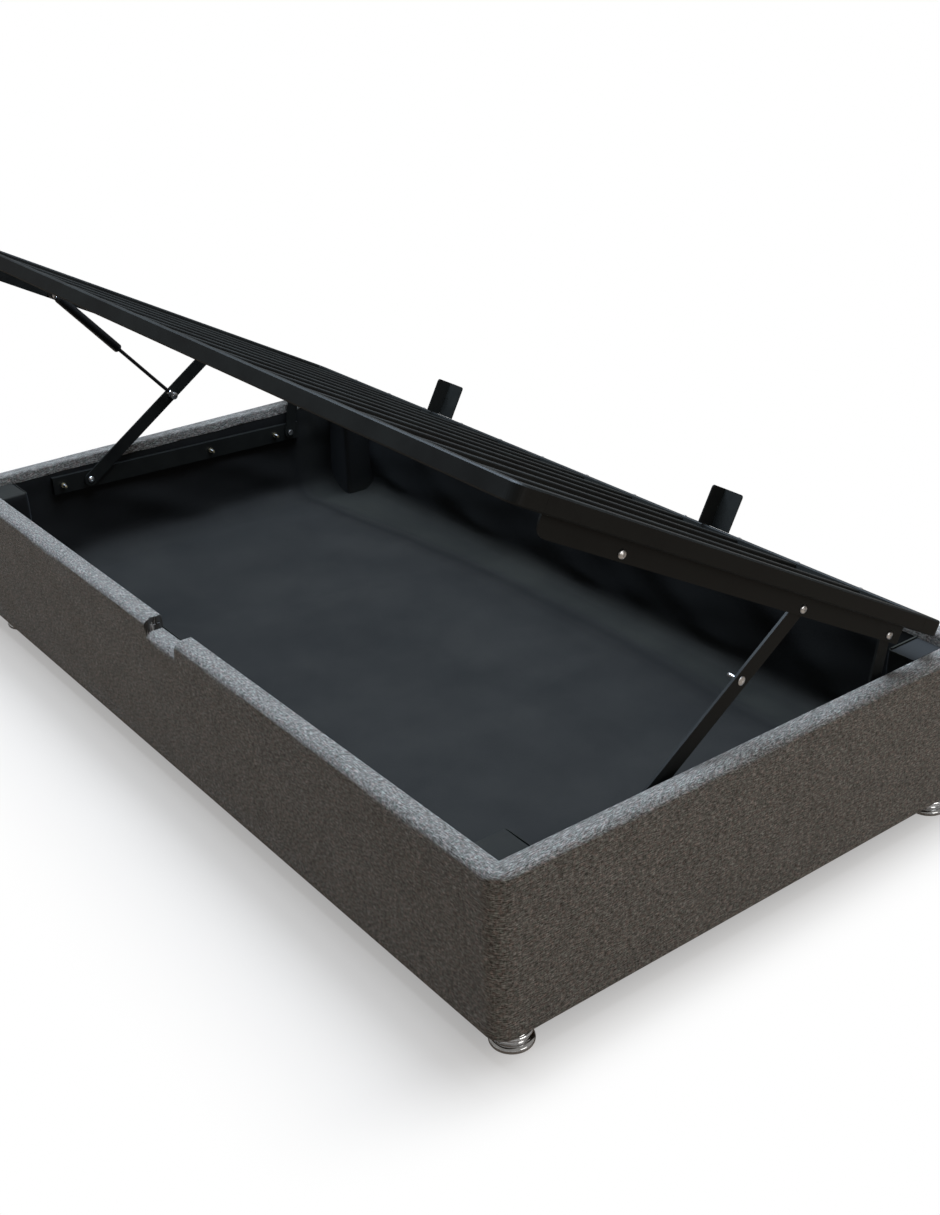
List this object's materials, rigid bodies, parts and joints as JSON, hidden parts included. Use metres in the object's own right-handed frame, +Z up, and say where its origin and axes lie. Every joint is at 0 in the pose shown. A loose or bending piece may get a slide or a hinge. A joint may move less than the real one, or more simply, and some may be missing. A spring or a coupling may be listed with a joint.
{
  "type": "metal ottoman bed",
  "caption": "Upholstered storage bed base with a slatted black steel platform raised on a lift linkage with a gas strut, low chrome feet",
  "frame": {"origin": "on the floor under the middle of the base", "axes": "X along the bed, Y from the hand-notch side to the hinge side, Z up"},
  "size_m": [2.08, 1.142, 0.9388],
  "materials": {
    "cover_cloth": "matte",
    "board": "matte",
    "lining_cloth": "matte",
    "post_cloth": "matte",
    "black_steel": "satin",
    "chrome": "polished",
    "bright_zinc": "satin",
    "yellow_zinc": "satin",
    "strut_black": "satin",
    "rod_steel": "polished"
  },
  "bodies": {
    "base": {"fabric_cover": "cover_cloth", "front_board": "board", "back_board": "board", "left_end_board": "board", "right_end_board": "board", "floor_panel": "board", "well_lining": "lining_cloth", "corner_post_front_left": "post_cloth", "corner_post_front_right": "post_cloth", "corner_post_back_left": "post_cloth", "corner_post_back_right": "post_cloth", "foot_front_left": "chrome", "foot_front_right": "chrome", "foot_back_left": "chrome", "foot_back_right": "chrome", "wall_bolt_left_1": "yellow_zinc", "wall_bolt_left_2": "yellow_zinc", "wall_bolt_left_3": "yellow_zinc", "wall_bolt_right_1": "yellow_zinc", "wall_bolt_right_2": "yellow_zinc", "wall_bolt_right_3": "yellow_zinc", "wall_channel_left": "black_steel", "wall_channel_right": "black_steel", "arm_pin_left": "bright_zinc", "arm_pin_right": "bright_zinc"},
    "platform": {"front_rail": "black_steel", "back_rail": "black_steel", "left_end_rail": "black_steel", "right_end_rail": "black_steel", "pivot_plate_left": "black_steel", "pivot_plate_right": "black_steel", "mattress_stop_1": "black_steel", "mattress_stop_2": "black_steel", "slat_1": "black_steel", "slat_2": "black_steel", "slat_3": "black_steel", "slat_4": "black_steel", "slat_5": "black_steel", "slat_6": "black_steel", "slat_7": "black_steel", "slat_8": "black_steel", "slat_9": "black_steel", "slat_10": "black_steel", "slat_11": "black_steel", "slat_12": "black_steel", "arm_bolt_left": "bright_zinc", "arm_bolt_right": "bright_zinc", "link_bolt_left": "bright_zinc", "link_bolt_right": "bright_zinc", "strut_bolt_left": "bright_zinc", "strut_bolt_right": "bright_zinc"},
    "left_arm": {"lift_arm_left": "black_steel", "arm_stud_left": "bright_zinc"},
    "right_arm": {"lift_arm_right": "black_steel", "arm_stud_right": "bright_zinc"},
    "left_link": {"rear_link_left": "black_steel"},
    "right_link": {"rear_link_right": "black_steel"},
    "strut_cylinder": {"strut_cylinder": "strut_black"},
    "strut_rod": {"strut_rod": "rod_steel"}
  },
  "joints": [
    {"name": "platform_lift", "type": "hinge", "parent": "base", "child": "left_arm", "pos_m": [-0.9832, -0.2597, 0.292], "axis": [-1, 0, 0], "range_deg": [0, 29.68], "stiffness_Nm_per_rad": 45, "springref_deg": -177.62},
    {"name": "platform_tilt", "type": "hinge", "parent": "left_arm", "child": "platform", "pos_m": [-0.9832, 0.11385, 0.5472], "axis": [1, 0, 0], "range_deg": [0, 58.3]},
    {"name": "right_arm_swing", "type": "hinge", "parent": "base", "child": "right_arm", "pos_m": [0.9832, -0.2597, 0.292], "axis": [-1, 0, 0], "range_deg": [0, 29.8]},
    {"name": "left_link_swing", "type": "hinge", "parent": "base", "child": "left_link", "pos_m": [-0.9832, 0.3171, 0.2753], "axis": [-1, 0, 0], "range_deg": [0, 57.8]},
    {"name": "right_link_swing", "type": "hinge", "parent": "base", "child": "right_link", "pos_m": [0.9832, 0.3171, 0.2753], "axis": [-1, 0, 0], "range_deg": [0, 57.8]},
    {"name": "strut_swing", "type": "hinge", "parent": "platform", "child": "strut_cylinder", "pos_m": [-0.9667, -0.28793, 0.7658], "axis": [1, 0, 0], "range_deg": [0, 17.8]},
    {"name": "strut_stroke", "type": "slide", "parent": "strut_cylinder", "child": "strut_rod", "axis": [0, -0.6606, 0.7507], "range_m": [0, 0.1108]}
  ],
  "couplings": [
    {"joint": "platform_tilt", "follows": "platform_lift", "ratio": 1.9617},
    {"joint": "right_arm_swing", "follows": "platform_lift", "ratio": 1},
    {"joint": "left_link_swing", "follows": "platform_lift", "ratio": 1.9403},
    {"joint": "right_link_swing", "follows": "platform_lift", "ratio": 1.9403},
    {"joint": "strut_swing", "follows": "platform_lift", "ratio": 0.59444},
    {"joint": "strut_stroke", "follows": "platform_lift", "m_per_rad": 0.2131}
  ]
}
